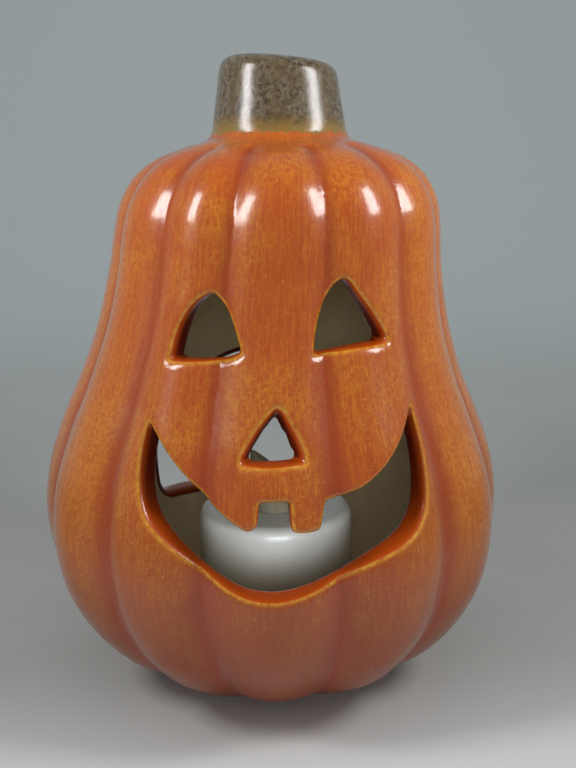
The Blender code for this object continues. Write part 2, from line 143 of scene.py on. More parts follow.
def rounded_loop(points, corner=42.0):
    """A closed outline with smooth runs between its corners."""
    p = np.array(points, float)
    before = p - np.roll(p, 1, axis=0)
    after = np.roll(p, -1, axis=0) - p
    turn = np.degrees(np.arctan2(
        before[:, 0] * after[:, 1] - before[:, 1] * after[:, 0], (before * after).sum(axis=1)
    ))
    corners = [i for i in range(len(p)) if abs(turn[i]) > corner]
    loop = []
    for start, end in zip(corners, corners[1:] + [corners[0] + len(p)]):
        run = [tuple(p[i % len(p)]) for i in range(start, end + 1)]
        loop += curve_through(run, 6)[:-1] if len(run) > 2 else run[:-1]
    return loop


class Field:
    """Distance to a closed outline in a plane, negative inside, read as a smooth surface."""

    def __init__(self, outline, step, margin, blur):
        p = np.array(outline, float)
        self.step = step
        self.low = p.min(axis=0) - margin
        shape = np.ceil((p.max(axis=0) + margin - self.low) / step).astype(int) + 1
        u, v = (self.low[k] + step * np.arange(shape[k]) for k in (0, 1))
        grid = np.stack(np.meshgrid(u, v, indexing="ij"), axis=-1)
        best = np.full(grid.shape[:2], 1e9)
        inside = np.zeros(grid.shape[:2], bool)
        for a, b in zip(p, np.roll(p, -1, axis=0)):
            along = b - a
            length = float(along @ along)
            if length < 1e-12:
                continue
            share = np.clip(((grid - a) @ along) / length, 0, 1)
            best = np.minimum(best, ((grid - a - share[..., None] * along) ** 2).sum(axis=-1))
            if a[1] != b[1]:
                crosses = (grid[..., 1] < a[1]) != (grid[..., 1] < b[1])
                at = a[0] + (grid[..., 1] - a[1]) * along[0] / along[1]
                inside ^= crosses & (grid[..., 0] < at)
        self.values = np.where(inside, -1, 1) * np.sqrt(best)
        if blur:
            self.values = blurred(self.values, blur / step)

    def __call__(self, u, v):
        total = 0.0
        ways = []
        for value, low, count in ((u, self.low[0], self.values.shape[0]),
                                  (v, self.low[1], self.values.shape[1])):
            at = np.clip((value - low) / self.step, 1.0, count - 2.001)
            cell = np.floor(at).astype(int)
            t = at - cell
            weights = (
                (1 - t) ** 3, 3 * t**3 - 6 * t**2 + 4, -3 * t**3 + 3 * t**2 + 3 * t + 1, t**3,
            )
            ways.append((cell - 1, [w / 6 for w in weights]))
        (iu, wu), (iv, wv) = ways
        for a in range(4):
            for b in range(4):
                row = np.minimum(iu + a, self.values.shape[0] - 1)
                column = np.minimum(iv + b, self.values.shape[1] - 1)
                total = total + wu[a] * wv[b] * self.values[row, column]
        return total


def blurred(values, sigma):
    reach = int(math.ceil(3 * sigma))
    kernel = np.exp(-0.5 * (np.arange(-reach, reach + 1) / sigma) ** 2)
    kernel /= kernel.sum()
    for axis in (0, 1):
        padded = np.pad(values, [(reach, reach) if k == axis else (0, 0) for k in (0, 1)], mode="edge")
        size = values.shape[axis]
        values = sum(
            w * np.take(padded, range(k, k + size), axis=axis) for k, w in enumerate(kernel)
        )
    return values


def mirrored(points):
    return points + [(-r, z) for r, z in reversed(points)]


def arch_outline():
    corner = 2.6
    wide = corner / 48 * 180 / math.pi
    left, right = ARCH_MIDDLE - ARCH_HALF_ANGLE, ARCH_MIDDLE + ARCH_HALF_ANGLE
    points = [
        (left, ARCH_SILL + corner), (left + 0.3 * wide, ARCH_SILL + 0.3 * corner),
        (left + wide, ARCH_SILL), (right - wide, ARCH_SILL),
        (right - 0.3 * wide, ARCH_SILL + 0.3 * corner), (right, ARCH_SILL + corner),
    ]
    for turn in np.linspace(0, math.pi, 25):
        points.append((ARCH_MIDDLE + ARCH_HALF_ANGLE * math.cos(turn),
                       ARCH_SPRING + (ARCH_TOP - ARCH_SPRING) * math.sin(turn)))
    return points


class Opening:
    """One carved opening: its outline laid flat on the skin, at the skin's radius there.

    Towards the hollow it can narrow (taper), drop (sink) and turn aside (slew), each in
    millimetres per millimetre of depth.
    """

    def __init__(self, outline, radius, taper=0.0, sink=0.0, slew=0.0):
        self.taper, self.sink, self.slew = taper, sink, slew
        self.scale = radius * math.pi / 180
        angles = [a for a, _ in outline]
        self.middle = (min(angles) + max(angles)) / 2
        self.reach = (max(angles) - min(angles)) / 2 + REACH / self.scale
        heights = [z for _, z in outline]
        self.heights = (min(heights) - REACH, max(heights) + REACH)
        flat = [((a - self.middle) * self.scale, z) for a, z in outline]
        self.field = Field(flat, 0.25, REACH + 1.0, 0.4)

    def carve(self, cut, angle, z, under, narrowing):
        """Lowers the distances in cut to this opening's, for the points near it."""
        turn = (angle - self.middle + 180) % 360 - 180
        low, high = self.heights
        near = np.flatnonzero((np.abs(turn) < self.reach) & (z > low) & (z < high))
        depth = np.clip(under[near], 0, 7) * narrowing
        across = turn[near] * self.scale - self.slew * depth
        distance = self.field(across, z[near] + self.sink * depth) + self.taper * depth
        cut[near] = np.minimum(cut[near], distance)


def smooth_max(a, b, radius):
    share = np.maximum(radius - np.abs(a - b), 0) / radius
    return np.maximum(a, b) + share * share * radius / 4


class Shell:
    """The shell as a distance in millimetres: negative in the clay, positive outside it."""

    def __init__(self):
        self.narrowing = 0.0
        skin = curve_through(OUTLINE) + [(5.0, 144.6), (0.0, 144.65)]
        radius, depth = FOOT_RECESS
        foot = [(0.0, depth), (radius - 1, depth), (radius, 0.0)]
        self.skin = Field(mirrored(foot + skin), 0.3, 6.0, 0.35)
        hollow = [(0.0, HOLLOW[0][1])] + curve_through(HOLLOW) + [(0.0, 120.1)]
        self.hollow = Field(mirrored(hollow), 0.4, 6.0, 0.8)
        self.openings = [
            Opening(rounded_loop(LEFT_EYE), 41),
            Opening(rounded_loop(RIGHT_EYE), 41),
            Opening(rounded_loop(NOSE), 47, taper=0.25, sink=0.28, slew=-0.10),
            Opening(rounded_loop(MOUTH), 52),
            Opening(arch_outline(), 50),
        ]
        rng = np.random.default_rng(11)
        self.waves = [
            (rng.normal(size=3) * 0.16, rng.uniform(0, 2 * math.pi)) for _ in range(9)
        ]

    def parts(self, p):
        """Distances to the skin, the hollow and the nearest opening, with what the glaze needs."""
        x, y, height = p.T
        z = height.copy()
        for _ in range(3):
            rise = np.clip((z - STEM_FOOT) / (STEM_TOP - STEM_FOOT), 0, None)
            z = height + STEM_TILT * rise * (x + 4.0)
        x = x - lean(z)
        radius = np.hypot(x, y)
        angle = np.degrees(np.arctan2(x, -y))
        edges = np.array([*GROOVES, GROOVES[0] + 360], float)
        around = (angle - edges[0]) % 360 + edges[0]
        lobe = np.clip(np.searchsorted(edges, around, side="right") - 1, 0, len(GROOVES) - 1)
        share = (around - edges[lobe]) / (edges[lobe + 1] - edges[lobe])
        bulge = (np.sin(np.pi * share) ** 2 + GROOVE_SOFTNESS**2) ** 0.425
        lowest = GROOVE_SOFTNESS**0.85
        bulge = (bulge - lowest) / ((1 + GROOVE_SOFTNESS**2) ** 0.425 - lowest)
        heights, depths = zip(*GROOVE_DEPTH)
        depth = np.interp(z, heights, depths) * ease((radius - 22.5) / 4 + (z > 60))
        wave = sum(np.sin(p @ way + phase) for way, phase in self.waves) * WAVE / 3
        skin = self.skin(radius + depth * (1 - bulge), z) + wave
        hollow = self.hollow(radius, z)
        cut = np.full(len(p), REACH)
        for opening in self.openings:
            opening.carve(cut, angle, z, -skin, self.narrowing)
        return {"skin": skin, "hollow": hollow, "cut": cut, "radius": radius, "angle": angle,
                "height": z, "valley": 1 - bulge, "depth": depth}

    def __call__(self, p):
        part = self.parts(p)
        wall = np.maximum(part["skin"], -part["hollow"])
        return smooth_max(wall, -part["cut"], EDGE_ROUND)

    def slope(self, p, step=0.06):
        around = [
            (self(p + step * way) - self(p - step * way)) / (2 * step) for way in np.eye(3)
        ]
        return np.stack(around, axis=1)

    def quick_slope(self, p, here, step=0.04):
        return np.stack([(self(p + step * way) - here) / step for way in np.eye(3)], axis=1)


def settled(points, shape, rounds=1):
    """Points moved along the shape's slope until they lie on it."""
    for _ in range(rounds):
        here = shape(points)
        slope = shape.quick_slope(points, here)
        size = np.maximum((slope**2).sum(axis=1), 0.15)
        points = points - slope * np.clip(here / size, -1.0, 1.0)[:, None]
    return points


def relaxed(points, edges, amount=0.5):
    """Points moved towards the middle of their neighbours."""
    ends = np.concatenate([edges, edges[:, ::-1]])
    count = np.maximum(np.bincount(ends[:, 0], minlength=len(points)), 1)
    middle = np.stack([
        np.bincount(ends[:, 0], weights=points[ends[:, 1], k], minlength=len(points)) / count
        for k in range(3)
    ], axis=1)
    return points + amount * (middle - points)


def points_of(mesh):
    flat = np.empty(len(mesh.vertices) * 3)
    mesh.vertices.foreach_get("co", flat)
    return flat.reshape(-1, 3) / MM


def edges_of(mesh):
    flat = np.empty(len(mesh.edges) * 2, np.int64)
    mesh.edges.foreach_get("vertices", flat)
    return flat.reshape(-1, 2)


def set_points(mesh, points):
    mesh.vertices.foreach_set("co", (points * MM).astype(np.float32).ravel())
    mesh.update()


def blank_of(node, voxel):
    """An even mesh of a CAD node's shape."""
    blank = bpy.data.objects.new("blank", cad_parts[node].data.copy())
    bpy.context.scene.collection.objects.link(blank)
    remesh = blank.modifiers.new("even", "REMESH")
    remesh.mode = "VOXEL"
    remesh.voxel_size = voxel * MM
    graph = bpy.context.evaluated_depsgraph_get()
    mesh = bpy.data.meshes.new_from_object(blank.evaluated_get(graph))
    bpy.data.objects.remove(blank)
    mesh.materials.clear()
    return mesh


def refine_edges(mesh, shape):
    """Splits the faces along the cut edges in four."""
    part = shape.parts(points_of(mesh))
    near_skin = np.abs(part["skin"]) < FINE_BAND
    near_hollow = np.abs(part["hollow"]) < FINE_BAND * 0.6
    close = (np.abs(part["cut"]) < FINE_BAND) & (near_skin | near_hollow)
    bm = bmesh.new()
    bm.from_mesh(mesh)
    bm.verts.ensure_lookup_table()
    chosen = [e for e in bm.edges if close[e.verts[0].index] and close[e.verts[1].index]]
    bmesh.ops.subdivide_edges(bm, edges=chosen, cuts=1, use_grid_fill=True)
    bm.to_mesh(mesh)
    bm.free()


def store(mesh, name, values, kind="FLOAT"):
    attribute = mesh.attributes.new(name, kind, "POINT")
    key = "vector" if kind == "FLOAT_VECTOR" else "value"
    attribute.data.foreach_set(key, np.asarray(values, np.float32).ravel())


def flow_of(part):
    """Coordinates that run along the ribs, so that brushed glaze follows them over the shoulder."""
    turn = np.radians(part["angle"])
    over = 0.8 * np.clip(38 - part["radius"], 0, None) * ease((part["height"] - 88) / 12)
    under = 0.8 * np.clip(46 - part["radius"], 0, None) * ease((28 - part["height"]) / 14)
    along = part["height"] + over - under
    return np.stack([50 * np.sin(turn), -50 * np.cos(turn), along], axis=1)


def settled_mesh(shape):
    """The shell's mesh: a blank that settles as the openings narrow, then with finer edges."""
    mesh = blank_of("pumpkin_shell", VOXEL)
    edges = edges_of(mesh)
    points = settled(points_of(mesh), shape, 3)
    for step in range(1, NARROWING_STEPS + 1):
        shape.narrowing = step / NARROWING_STEPS
        points = settled(relaxed(relaxed(points, edges, 0.4), edges, 0.4), shape)
    for _ in range(SETTLING_STEPS):
        points = settled(relaxed(points, edges), shape)
    set_points(mesh, points)
    refine_edges(mesh, shape)
    points = settled(points_of(mesh), shape)
    for _ in range(2):
        points = settled(relaxed(points, edges_of(mesh), 0.4), shape)
    points = settled(points, shape)
    points[:, 2] = np.clip(points[:, 2], 0.0, None)
    set_points(mesh, points)
    return mesh, points


def mark(mesh, part):
    """Stores what the glaze needs to know at each point."""
    store(mesh, "under_skin", -part["skin"])
    store(mesh, "from_hollow", part["hollow"])
    store(mesh, "from_cut", part["cut"])
    on_lobes = ease((127.6 - part["height"]) / 1.5)
    store(mesh, "valley", part["valley"] * on_lobes * np.clip(part["depth"] / 2.5, 0.6, 1.0))
    store(mesh, "height", part["height"])
    store(mesh, "flow", flow_of(part), "FLOAT_VECTOR")


def make_shell():
    shape = Shell()
    mesh, points = settled_mesh(shape)
    mark(mesh, shape.parts(points))
    mesh.polygons.foreach_set("use_smooth", [True] * len(mesh.polygons))
    slope = shape.slope(points)
    slope /= np.linalg.norm(slope, axis=1)[:, None]
    mesh.normals_split_custom_set_from_vertices(slope)
    shell = bpy.data.objects.new("glazed_shell", mesh)
    bpy.context.scene.collection.objects.link(shell)
    triangles = sum(len(face.vertices) - 2 for face in mesh.polygons)
    print("shell:", len(mesh.vertices), "points,", triangles, "triangles")
    return shell


# ---------------------------------------------------------------- materials
class Paint:
    """A Principled material, with short calls for the nodes that feed it."""

    def __init__(self, name, **values):
        self.material = bpy.data.materials.new(name)
        self.material.use_nodes = True
        self.tree = self.material.node_tree
        self.shader = self.tree.nodes["Principled BSDF"]
        self.set(**values)

    def set(self, **values):
        for key, value in values.items():
            self.put(self.shader.inputs[key.replace("_", " ")], value)

    def put(self, socket, value):
        if isinstance(value, bpy.types.NodeSocket):
            self.tree.links.new(value, socket)
        elif isinstance(value, tuple) and socket.type == "RGBA" and len(value) == 3:
            socket.default_value = (*value, 1.0)
        else:
            socket.default_value = value

    def node(self, kind, settings=(), **inputs):
        node = self.tree.nodes.new("ShaderNode" + kind)
        for key, value in dict(settings).items():
            setattr(node, key, value)
        for key, value in inputs.items():
            self.put(node.inputs[key.replace("_", " ")], value)
        return node

    def attribute(self, name, output="Fac"):
        return self.node("Attribute", {"attribute_name": name}).outputs[output]

    def position(self):
        return self.node("TexCoord").outputs["Object"]

    def stretched(self, vector, x, y, z):
        mapping = self.node("Mapping", Vector=vector)
        mapping.inputs["Scale"].default_value = (x, y, z)
        return mapping.outputs["Vector"]

    def noise(self, vector, scale, detail=4.0, roughness=0.6, distortion=0.0):
        return self.node("TexNoise", Vector=vector, Scale=scale, Detail=detail,
                         Roughness=roughness, Distortion=distortion).outputs["Fac"]

    def ramp(self, value, low, high, start=0.0, end=1.0):
        """Takes low..high to start..end, smoothly, and holds it outside."""
        node = self.node("MapRange", {"interpolation_type": "SMOOTHSTEP"}, Value=value)
        for key, number in (("From Min", low), ("From Max", high), ("To Min", start), ("To Max", end)):
            node.inputs[key].default_value = number
        return node.outputs["Result"]

    def maths(self, operation, a, b=0.0):
        node = self.tree.nodes.new("ShaderNodeMath")
        node.operation = operation
        self.put(node.inputs[0], a)
        self.put(node.inputs[1], b)
        return node.outputs[0]

    def mix(self, share, a, b, how="MIX"):
        node = self.tree.nodes.new("ShaderNodeMix")
        node.data_type = "RGBA"
        node.blend_type = how
        self.put(node.inputs[0], share)
        self.put(node.inputs[6], a)
        self.put(node.inputs[7], b)
        return node.outputs[2]

    def bump(self, height, distance, strength=1.0, below=None):
        node = self.node("Bump", Height=height, Strength=strength, Distance=distance * MM)
        if below is not None:
            self.put(node.inputs["Normal"], below)
        return node.outputs["Normal"]


def srgb(r, g, b):
    """A colour seen on a screen, as the light it stands for."""
    return tuple(((c / 255 + 0.055) / 1.055) ** 2.4 if c > 10 else c / 255 / 12.92 for c in (r, g, b))


def skin_color(paint, flow, place, height, valley):
    """Orange brushed over ochre: fine upright strokes, cloudy patches and warm valleys, with painted
    light on the flanks and painted shade low down.
    """
    brushed = paint.stretched(flow, 1, 1, 0.09)
    strokes = paint.noise(brushed, 1.4, 4, 0.7)
    hairs = paint.noise(brushed, 4.0, 3, 0.7)
    cloud = paint.noise(place, 0.055, 4, 0.6)
    mottle = paint.noise(place, 1.0, 5, 0.75)

    skin = paint.mix(paint.ramp(strokes, 0.34, 0.66), srgb(166, 69, 8), srgb(186, 90, 10))
    skin = paint.mix(paint.ramp(mottle, 0.36, 0.64, 0.5, 0.0), skin, srgb(168, 64, 8))
    bare_places = paint.ramp(cloud, 0.38, 0.60, 0.25, 1.0)
    thin = paint.maths("MULTIPLY", paint.ramp(hairs, 0.50, 0.72), bare_places)
    skin = paint.mix(paint.maths("MULTIPLY", thin, 0.75), skin, srgb(204, 132, 26))
    ochre = paint.maths("MULTIPLY", paint.ramp(cloud, 0.46, 0.66), paint.ramp(mottle, 0.40, 0.62))
    skin = paint.mix(paint.maths("MULTIPLY", ochre, 0.42), skin, srgb(202, 132, 28))
    # Painted light: the flanks facing the two side lamps are painted lighter and yellower.
    sideways = paint.node("SeparateXYZ", Vector=place).outputs["X"]
    lit_flanks = paint.ramp(paint.maths("ABSOLUTE", sideways), 18, 44, 0.0, 0.75)
    lit_flanks = paint.maths("MULTIPLY", lit_flanks, paint.ramp(height, 20, 50, 0.4, 1.0))
    lit_flanks = paint.maths("MULTIPLY", lit_flanks, paint.ramp(mottle, 0.40, 0.60, 0.35, 1.0))
    lit_flanks = paint.maths("MULTIPLY", lit_flanks, paint.ramp(strokes, 0.34, 0.66, 0.6, 1.0))
    skin = paint.mix(lit_flanks, skin, srgb(204, 126, 34))
    fleck = paint.noise(place, 1.7, 3, 0.6)
    low_down = paint.ramp(height, 100, 20, 0.3, 0.75)
    speck = paint.maths("MULTIPLY", paint.ramp(fleck, 0.61, 0.70), low_down)
    skin = paint.mix(speck, skin, srgb(216, 156, 52))
    # Painted shade: the skin is painted darker and redder towards the bottom, where it turns away from
    # the lamps.
    skin = paint.mix(paint.ramp(height, 62, 8, 0.0, 0.75), skin, srgb(126, 48, 2))
    return paint.mix(paint.ramp(valley, 0.42, 1.0, 0.0, 0.8), skin, srgb(150, 50, 4))


def stem_color(paint, place, height):
    grain = paint.noise(place, 0.85, 6, 0.8)
    olive = paint.mix(paint.ramp(grain, 0.40, 0.60), srgb(58, 45, 29), srgb(112, 99, 80))
    cloud = paint.noise(place, 0.22, 3, 0.5)
    olive = paint.mix(paint.ramp(cloud, 0.4, 0.65, 0.0, 0.5), olive, srgb(92, 74, 40))
    return paint.mix(paint.ramp(height, 131.5, 127.4, 0.0, 0.8), olive, srgb(136, 104, 32))


def over_cuts(paint, body, place, under, cut):
    """A worn ochre band along each carved edge, then orange cut faces that turn maroon deeper in and
    where they don't face up: partly glaze pooling, partly painted shade.
    """
    ragged = paint.ramp(paint.noise(place, 0.9, 4, 0.65), 0.34, 0.62, 0.2, 1.0)
    band = paint.maths("MULTIPLY", paint.ramp(cut, 1.2, 0.2), ragged)
    body = paint.mix(band, body, srgb(214, 152, 40))
    # Painted shade, mixed with glaze pooling: cut faces that don't face up, and the deeper parts of
    # each cut, are painted maroon. Up-facing faces stay orange, as if lit from above.
    upward = paint.node("SeparateXYZ", Vector=paint.node("NewGeometry").outputs["Normal"])
    shaded_sides = paint.ramp(upward.outputs["Z"], 0.8, 0.1, 0.2, 1.0)
    pooled_and_shaded = paint.maths("MULTIPLY", paint.ramp(under, 0.8, 3.0), shaded_sides)
    cut_faces_with_shade = paint.mix(pooled_and_shaded, srgb(178, 70, 10), srgb(96, 20, 6))
    return paint.mix(paint.ramp(under, 0.4, 0.8), body, cut_faces_with_shade)


def over_hollow(paint, body, place, hollow, cut):
    """Cream glaze inside."""
    cloud = paint.noise(place, 0.09, 4, 0.6)
    cream = paint.mix(paint.ramp(cloud, 0.35, 0.7), srgb(226, 209, 174), srgb(216, 197, 158))
    inside = paint.maths("MULTIPLY", paint.ramp(hollow, 0.45, 0.15), paint.ramp(cut, 1.5, 2.2))
    return paint.mix(inside, body, cream)


def over_stem(paint, body, place, height):
    """Olive on the stem, with a ragged start."""
    jitter = paint.ramp(paint.noise(place, 0.5, 3, 0.6), 0.2, 0.8, -0.9, 0.9)
    ragged_height = paint.maths("ADD", height, jitter)
    olive = stem_color(paint, place, ragged_height)
    return paint.mix(paint.ramp(ragged_height, 126.7, 127.5), body, olive)


def over_foot(paint, body, place, bare):
    """Bare clay on the foot ring."""
    grain = paint.ramp(paint.noise(place, 1.5, 3, 0.6), 0.4, 0.6)
    clay = paint.mix(grain, srgb(214, 200, 180), srgb(198, 182, 160))
    return paint.mix(bare, body, clay)


def glaze_relief(paint, flow, place, under, height, bare):
    """Brush strokes, orange peel and pits, under a coat that thins in the cuts and low down."""
    brushed = paint.stretched(flow, 1, 1, 0.16)
    on_skin = paint.ramp(under, 1.2, 0.3)
    streaks = paint.ramp(paint.noise(brushed, 1.6, 4, 0.7), 0.3, 0.75, -0.04, 0.12)
    rough = paint.maths("ADD", paint.maths("MULTIPLY", streaks, on_skin), 0.30)
    rough = paint.maths("ADD", rough, paint.maths("MULTIPLY", bare, 0.4))
    peel = paint.noise(place, 0.7, 2, 0.5)
    pits = paint.noise(place, 3.2, 2, 0.6)
    strokes = paint.noise(brushed, 1.3, 3, 0.6)
    normal = paint.bump(peel, 0.05, 0.3)
    normal = paint.bump(strokes, 0.035, paint.maths("MULTIPLY", on_skin, 0.5), normal)
    paint.set(Roughness=rough, Normal=normal)
    dull = paint.maths("MAXIMUM", bare, paint.ramp(under, 1.4, 2.6, 0.0, 0.92))
    dull = paint.maths("MAXIMUM", dull, paint.ramp(height, 42, 6, 0.0, 0.6))
    paint.set(Coat_Weight=paint.maths("SUBTRACT", 1.0, dull))
    coat = paint.bump(peel, 0.05, 0.4)
    coat = paint.bump(pits, 0.014, 0.6, coat)
    coat = paint.bump(strokes, 0.03, paint.maths("MULTIPLY", on_skin, 0.6), coat)
    paint.set(Coat_Normal=coat)


def glaze():
    paint = Paint("orange_glaze", IOR=1.45, Coat_IOR=1.42, Coat_Roughness=0.14)
    paint.set(Specular_IOR_Level=0.28)
    flow = paint.attribute("flow", "Vector")
    place = paint.stretched(paint.position(), 1 / MM, 1 / MM, 1 / MM)
    under = paint.attribute("under_skin")
    hollow = paint.attribute("from_hollow")
    cut = paint.attribute("from_cut")
    height = paint.attribute("height")
    bare = paint.ramp(height, 0.75, 0.35)
    body = skin_color(paint, flow, place, height, paint.attribute("valley"))
    body = over_cuts(paint, body, place, under, cut)
    body = over_hollow(paint, body, place, hollow, cut)
    body = over_stem(paint, body, place, height)
    body = over_foot(paint, body, place, bare)
    paint.set(Base_Color=body)
    glaze_relief(paint, flow, place, under, height, bare)
    return paint.material


def moulded(name, color, roughness):
    """Moulded plastic: faint clouding, a fine spark-eroded grain and uneven sheen."""
    paint = Paint(name)
    place = paint.stretched(paint.position(), 1 / MM, 1 / MM, 1 / MM)
    cloud = paint.noise(place, 0.12, 3, 0.5)
    shade = tuple(c * 0.88 for c in color)
    paint.set(Base_Color=paint.mix(paint.ramp(cloud, 0.35, 0.65), shade, color))
    sheen = paint.noise(place, 0.8, 3, 0.6)
    paint.set(Roughness=paint.ramp(sheen, 0.3, 0.7, roughness - 0.06, roughness + 0.08))
    paint.set(Normal=paint.bump(paint.noise(place, 3.5, 2, 0.5), 0.015, 0.5))
    return paint.material


def plated(name, color, roughness):
    """Plated metal: rolled along one way, with dull patches."""
    paint = Paint(name, Metallic=1.0)
    place = paint.stretched(paint.position(), 1 / MM, 1 / MM, 1 / MM)
    rolled = paint.noise(paint.stretched(place, 0.15, 3.0, 3.0), 1.5, 3, 0.6)
    dull = paint.noise(place, 0.35, 3, 0.6)
    shade = tuple(c * 0.72 for c in color)
    paint.set(Base_Color=paint.mix(paint.ramp(dull, 0.45, 0.75), color, shade))
    rough = paint.ramp(rolled, 0.3, 0.7, roughness - 0.08, roughness + 0.08)
    paint.set(Roughness=paint.maths("ADD", rough, paint.ramp(dull, 0.5, 0.8, 0.0, 0.15)))
    paint.set(Normal=paint.bump(rolled, 0.01, 0.4))
    return paint.material


def board():
    """Green lacquer over copper tracks, with bare pads."""
    paint = Paint("board_laminate", Specular_IOR_Level=0.5)
    place = paint.stretched(paint.position(), 1 / MM, 1 / MM, 1 / MM)
    squares = {"distance": "CHEBYCHEV", "feature": "F1"}
    cells = paint.node("TexVoronoi", squares, Vector=place, Scale=0.42)
    track = paint.ramp(cells.outputs["Distance"], 0.44, 0.50)
    pad = paint.ramp(cells.outputs["Distance"], 0.10, 0.07)
    green = paint.mix(track, srgb(26, 84, 48), srgb(40, 112, 62))
    paint.set(Base_Color=paint.mix(pad, green, srgb(196, 170, 110)))
    paint.set(Roughness=paint.ramp(paint.noise(place, 1.2, 3, 0.6), 0.3, 0.7, 0.28, 0.42))
    paint.set(Normal=paint.bump(track, 0.03, 0.6))
    return paint.material


def clear_plastic(name, color, roughness):
    """Cast plastic that lets light into it, with a few flow marks."""
    paint = Paint(name, IOR=1.5, Subsurface_Weight=0.6, Subsurface_Scale=0.003)
    place = paint.stretched(paint.position(), 1 / MM, 1 / MM, 1 / MM)
    flow = paint.noise(paint.stretched(place, 1, 1, 0.3), 0.5, 3, 0.5)
    shade = tuple(c * 0.9 for c in color)
    paint.set(Base_Color=paint.mix(paint.ramp(flow, 0.35, 0.65), shade, color))
    sheen = paint.noise(place, 1.1, 3, 0.6)
    paint.set(Roughness=paint.ramp(sheen, 0.3, 0.7, roughness, roughness + 0.10))
    paint.set(Normal=paint.bump(flow, 0.03, 0.4))
    return paint.material


def wax_plastic():
    """The candle's white moulding, with painted shade: bright on its top and shoulder, painted greyer
    and warmer below as shade and as orange light thrown back by the shell.
    """
    paint = Paint("candle_plastic", IOR=1.46, Subsurface_Weight=0.25, Subsurface_Scale=0.003)
    paint.set(Coat_Weight=0.8, Coat_Roughness=0.32)
    place = paint.stretched(paint.position(), 1 / MM, 1 / MM, 1 / MM)
    cloud = paint.noise(place, 0.10, 4, 0.55)
    white = paint.mix(paint.ramp(cloud, 0.35, 0.65), srgb(214, 212, 208), srgb(222, 221, 218))
    # Painted shade and painted bounce light: the candle is painted greyer and warmer towards its foot.
    low = paint.ramp(paint.node("SeparateXYZ", Vector=place).outputs["Z"], 37.5, 22, 0.0, 1.0)
    paint.set(Base_Color=paint.mix(low, white, srgb(136, 124, 106)))
    paint.set(Roughness=paint.ramp(paint.noise(place, 0.9, 3, 0.6), 0.3, 0.7, 0.27, 0.33))
    normal = paint.bump(paint.noise(place, 1.2, 2, 0.5), 0.01, 0.4)
    paint.set(Normal=paint.bump(paint.noise(place, 0.1, 2, 0.5), 0.10, 0.3, normal))
    return paint.material


# ---------------------------------------------------------------- candle pieces
CANDLE_FOOT = 5.3
CANDLE_RADIUS = 19.0
CANDLE_TOP = 38.3
CANDLE_WALL = 1.4
DISH_FLOOR = CANDLE_TOP - 0.8
DISH_UNDERSIDE = DISH_FLOOR - 1.6
FLAME_HOLE = 4.9
FLAME_TIP = (-5.6, 52.4)
FLAME_GAP = 0.3


def rings_to_object(name, rings, loop):
    """A mesh in millimetres over rings of equal counts; a ring of one point closes an end."""
    bm = bmesh.new()
    rows = [[bm.verts.new([c * MM for c in point]) for point in ring] for ring in rings]
    pairs = list(zip(rows, rows[1:] + rows[:1])) if loop else list(zip(rows, rows[1:]))
    for a, b in pairs:
        count = max(len(a), len(b))
        for i in range(count):
            j = (i + 1) % count
            corners = [a[i % len(a)], a[j % len(a)], b[j % len(b)], b[i % len(b)]]
            bm.faces.new(list(dict.fromkeys(corners)))
    bmesh.ops.recalc_face_normals(bm, faces=bm.faces)
    mesh = bpy.data.meshes.new(name)
    bm.to_mesh(mesh)
    bm.free()
    mesh.polygons.foreach_set("use_smooth", [True] * len(mesh.polygons))
    mesh.set_sharp_from_angle(angle=math.radians(40))
    piece = bpy.data.objects.new(name, mesh)
    bpy.context.scene.collection.objects.link(piece)
    return piece


def ring(radius, z, count=128, x=0.0):
    turns = np.linspace(0, 2 * math.pi, count, endpoint=False)
    return [(x + radius * math.cos(t), radius * math.sin(t), z) for t in turns]


def make_candle_cup():
    """The candle's moulding: a cup upside down, with a rounded shoulder and the flame's hole."""
    inner = CANDLE_RADIUS - CANDLE_WALL
    rim = curve_through([
        (CANDLE_RADIUS, CANDLE_TOP - 2.6), (CANDLE_RADIUS - 0.3, CANDLE_TOP - 1.5),
        (CANDLE_RADIUS - 0.9, CANDLE_TOP - 0.6), (CANDLE_RADIUS - 2.0, CANDLE_TOP - 0.1),
        (CANDLE_RADIUS - 3.4, CANDLE_TOP), (CANDLE_RADIUS - 8.0, CANDLE_TOP - 0.35),
        (FLAME_HOLE + 2.0, DISH_FLOOR + 0.1), (FLAME_HOLE + 0.6, DISH_FLOOR),
    ], 5)
    foot = [
        (inner, CANDLE_FOOT), (CANDLE_RADIUS - 0.4, CANDLE_FOOT),
        (CANDLE_RADIUS - 0.12, CANDLE_FOOT + 0.12), (CANDLE_RADIUS, CANDLE_FOOT + 0.5),
    ]
    side = [(CANDLE_RADIUS, z) for z in np.linspace(CANDLE_FOOT + 3, CANDLE_TOP - 3.6, 9)]
    lip = [
        (FLAME_HOLE + 0.15, DISH_FLOOR - 0.15), (FLAME_HOLE, DISH_FLOOR - 0.5),
        (FLAME_HOLE, DISH_UNDERSIDE), (inner - 0.8, DISH_UNDERSIDE),
        (inner, DISH_UNDERSIDE - 0.8),
    ]
    outline = foot + side + rim + lip
    return rings_to_object("candle_cup", [ring(r, z) for r, z in outline], True)


